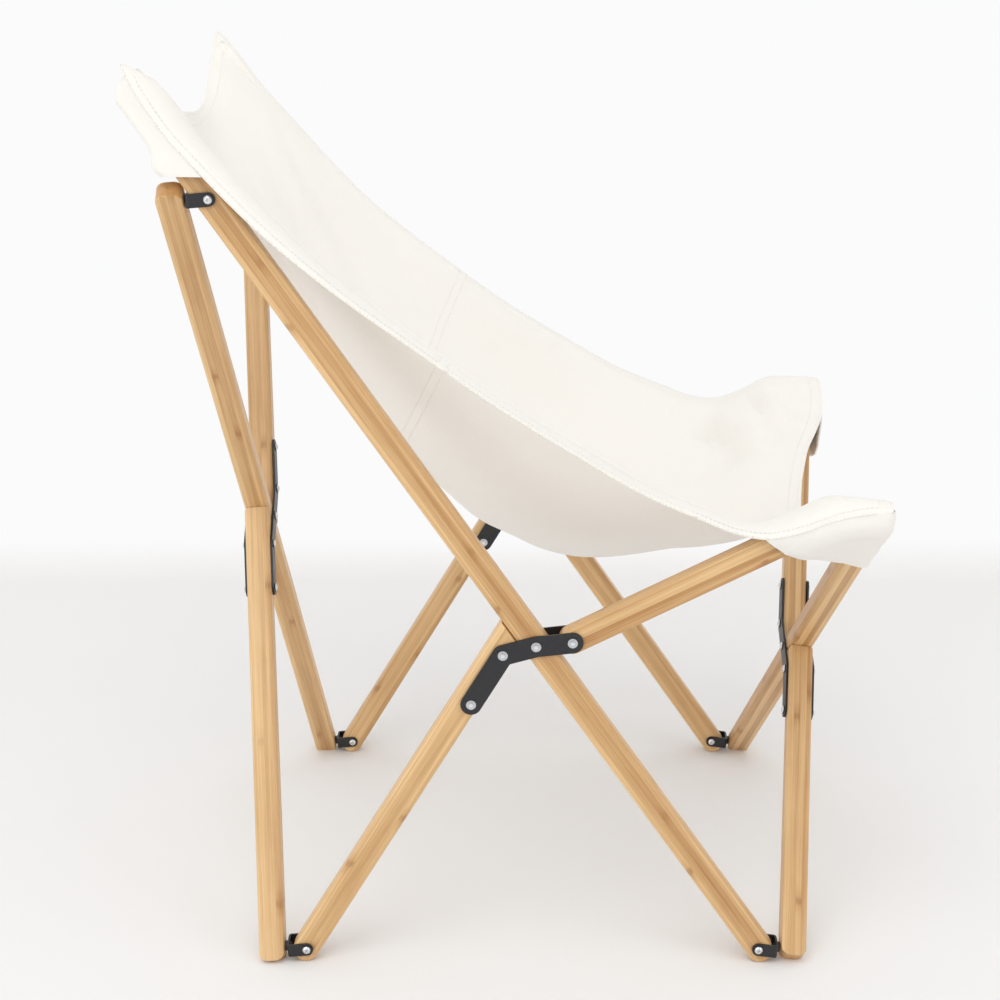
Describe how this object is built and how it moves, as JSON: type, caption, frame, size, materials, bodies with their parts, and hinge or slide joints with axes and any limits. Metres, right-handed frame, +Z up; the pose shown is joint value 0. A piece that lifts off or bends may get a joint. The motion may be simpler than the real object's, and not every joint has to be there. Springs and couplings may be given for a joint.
{
  "type": "folding sling chair",
  "caption": "Low folding lounge chair: crossed bamboo bars with black steel plates and corner brackets hold a canvas sling by its four corners and fold sideways and front to back together",
  "frame": {"origin": "floor level under the middle of the whole chair", "axes": "the chair faces -Y, +Z is up, X runs across, with the left side of the chair seen from the front at -X"},
  "size_m": [0.547, 0.6882, 0.8596],
  "materials": {
    "bamboo": "clear-lacquered laminated bamboo",
    "black_steel": "satin black powder coat",
    "zinc_steel": "bright zinc-plated",
    "canvas": "plain-woven natural cotton canvas"
  },
  "bodies": {
    "left_rail": {"rail_left": "bamboo", "rail_pocket_left": "canvas", "sling_panel": "canvas"},
    "left_leg": {"side_leg_left": "bamboo", "side_plate_outer_left": "black_steel", "side_plate_inner_left": "black_steel", "leg_bolt_lower_left": "zinc_steel", "leg_bolt_upper_left": "zinc_steel", "pivot_bolt_left": "zinc_steel", "arm_bolt_left": "zinc_steel"},
    "left_arm": {"side_arm_left": "bamboo", "arm_pocket_left": "canvas"},
    "right_rail": {"rail_right": "bamboo", "rail_pocket_right": "canvas"},
    "right_leg": {"side_leg_right": "bamboo", "side_plate_outer_right": "black_steel", "side_plate_inner_right": "black_steel", "leg_bolt_lower_right": "zinc_steel", "leg_bolt_upper_right": "zinc_steel", "pivot_bolt_right": "zinc_steel", "arm_bolt_right": "zinc_steel"},
    "right_arm": {"side_arm_right": "bamboo", "arm_pocket_right": "canvas"},
    "rear_foot_corner_left": {"rear_foot_bracket_left": "black_steel", "rear_foot_pin_left": "zinc_steel"},
    "rear_top_corner_left": {"rear_top_bracket_left": "black_steel", "rear_top_pin_left": "zinc_steel"},
    "front_foot_corner_left": {"front_foot_bracket_left": "black_steel", "front_foot_pin_left": "zinc_steel"},
    "front_top_corner_left": {"front_top_bracket_left": "black_steel", "front_top_pin_left": "zinc_steel"},
    "rear_foot_corner_right": {"rear_foot_bracket_right": "black_steel", "rear_foot_pin_right": "zinc_steel"},
    "rear_top_corner_right": {"rear_top_bracket_right": "black_steel", "rear_top_pin_right": "zinc_steel"},
    "front_foot_corner_right": {"front_foot_bracket_right": "black_steel", "front_foot_pin_right": "zinc_steel"},
    "front_top_corner_right": {"front_top_bracket_right": "black_steel", "front_top_pin_right": "zinc_steel"},
    "rear_cross_leg": {"rear_leg": "bamboo", "rear_arm": "bamboo", "rear_plate_outer": "black_steel", "rear_plate_inner": "black_steel", "rear_centre_bolt": "zinc_steel", "rear_leg_bolt_low": "zinc_steel", "rear_leg_bolt_high": "zinc_steel", "rear_arm_bolt_low": "zinc_steel", "rear_arm_bolt_high": "zinc_steel"},
    "rear_cross_bar": {"rear_long_bar": "bamboo"},
    "front_cross_leg": {"front_leg": "bamboo", "front_arm": "bamboo", "front_plate_outer": "black_steel", "front_plate_inner": "black_steel", "front_centre_bolt": "zinc_steel", "front_leg_bolt_low": "zinc_steel", "front_leg_bolt_high": "zinc_steel", "front_arm_bolt_low": "zinc_steel", "front_arm_bolt_high": "zinc_steel"},
    "front_cross_bar": {"front_long_bar": "bamboo"}
  },
  "joints": [
    {"name": "fold", "type": "hinge", "parent": "left_rail", "child": "left_leg", "pos_m": [-0.253, -0.01898, 0.32864], "axis": [-1, 0, 0], "range_deg": [0, 57], "deforming": ["sling_panel", "arm_pocket_left", "arm_pocket_right"]},
    {"name": "arm_hinge_left", "type": "hinge", "parent": "left_leg", "child": "left_arm", "pos_m": [-0.253, -0.05292, 0.33238], "axis": [1, 0, 0], "range_deg": [-25.58, 0]},
    {"name": "rear_foot_hinge_left", "type": "hinge", "parent": "left_leg", "child": "rear_foot_corner_left", "pos_m": [-0.253, 0.20506, 0.014], "axis": [1, 0, 0], "range_deg": [0, 33.42]},
    {"name": "rear_swivel_left", "type": "hinge", "parent": "rear_foot_corner_left", "child": "rear_cross_leg", "pos_m": [-0.253, 0.23944, 0.0111], "axis": [0, -0.9965, 0.084], "range_deg": [0, 28.68]},
    {"name": "rear_crossing", "type": "hinge", "parent": "rear_cross_leg", "child": "rear_cross_bar", "pos_m": [0, 0.27016, 0.37573], "axis": [0, -0.9965, 0.084], "range_deg": [-56.85, 0]},
    {"name": "rear_swivel_right", "type": "hinge", "parent": "rear_cross_bar", "child": "rear_foot_corner_right", "pos_m": [0.253, 0.23944, 0.0111], "axis": [0, -0.9965, 0.084], "range_deg": [0, 28.68]},
    {"name": "rear_foot_hinge_right", "type": "hinge", "parent": "rear_foot_corner_right", "child": "right_leg", "pos_m": [0.253, 0.20506, 0.014], "axis": [1, 0, 0], "range_deg": [-33.42, 0]},
    {"name": "side_crossing_right", "type": "hinge", "parent": "right_leg", "child": "right_rail", "pos_m": [0.253, -0.01898, 0.32864], "axis": [1, 0, 0], "range_deg": [0, 57.5]},
    {"name": "arm_hinge_right", "type": "hinge", "parent": "right_leg", "child": "right_arm", "pos_m": [0.253, -0.05292, 0.33238], "axis": [1, 0, 0], "range_deg": [-25.58, 0]},
    {"name": "rear_top_hinge_left", "type": "hinge", "parent": "left_rail", "child": "rear_top_corner_left", "pos_m": [-0.253, 0.26651, 0.74325], "axis": [1, 0, 0], "range_deg": [-24.58, 0]},
    {"name": "rear_top_hinge_right", "type": "hinge", "parent": "right_rail", "child": "rear_top_corner_right", "pos_m": [0.253, 0.26651, 0.74325], "axis": [1, 0, 0], "range_deg": [-24.58, 0]},
    {"name": "front_foot_hinge_left", "type": "hinge", "parent": "left_rail", "child": "front_foot_corner_left", "pos_m": [-0.253, -0.23494, 0.015], "axis": [1, 0, 0], "range_deg": [-32.42, 0]},
    {"name": "front_swivel_left", "type": "hinge", "parent": "front_foot_corner_left", "child": "front_cross_leg", "pos_m": [-0.253, -0.26914, 0.01044], "axis": [0, -0.9912, -0.1321], "range_deg": [0, 41.26]},
    {"name": "front_crossing", "type": "hinge", "parent": "front_cross_leg", "child": "front_cross_bar", "pos_m": [0, -0.29827, 0.22904], "axis": [0, -0.9912, -0.1321], "range_deg": [-82.01, 0]},
    {"name": "front_foot_hinge_right", "type": "hinge", "parent": "right_rail", "child": "front_foot_corner_right", "pos_m": [0.253, -0.23494, 0.015], "axis": [1, 0, 0], "range_deg": [-32.42, 0]},
    {"name": "front_top_hinge_left", "type": "hinge", "parent": "left_arm", "child": "front_top_corner_left", "pos_m": [-0.253, -0.29321, 0.45219], "axis": [1, 0, 0], "range_deg": [0, 50.66]},
    {"name": "front_top_hinge_right", "type": "hinge", "parent": "right_arm", "child": "front_top_corner_right", "pos_m": [0.253, -0.29321, 0.45219], "axis": [1, 0, 0], "range_deg": [0, 50.66]}
  ],
  "couplings": [
    {"joint": "arm_hinge_left", "follows": "fold", "ratio": -0.44},
    {"joint": "rear_foot_hinge_left", "follows": "fold", "ratio": 0.5775},
    {"joint": "rear_swivel_left", "follows": "fold", "ratio": 0.4943},
    {"joint": "rear_crossing", "follows": "fold", "ratio": -0.9886},
    {"joint": "rear_swivel_right", "follows": "fold", "ratio": 0.4943},
    {"joint": "rear_foot_hinge_right", "follows": "fold", "ratio": -0.5775},
    {"joint": "side_crossing_right", "follows": "fold", "ratio": 1},
    {"joint": "arm_hinge_right", "follows": "fold", "ratio": -0.44},
    {"joint": "rear_top_hinge_left", "follows": "fold", "ratio": -0.4225},
    {"joint": "rear_top_hinge_right", "follows": "fold", "ratio": -0.4225},
    {"joint": "front_foot_hinge_left", "follows": "fold", "ratio": -0.56},
    {"joint": "front_swivel_left", "follows": "fold", "ratio": 0.715},
    {"joint": "front_crossing", "follows": "fold", "ratio": -1.43},
    {"joint": "front_foot_hinge_right", "follows": "fold", "ratio": -0.56},
    {"joint": "front_top_hinge_left", "follows": "fold", "ratio": 0.88},
    {"joint": "front_top_hinge_right", "follows": "fold", "ratio": 0.88}
  ]
}
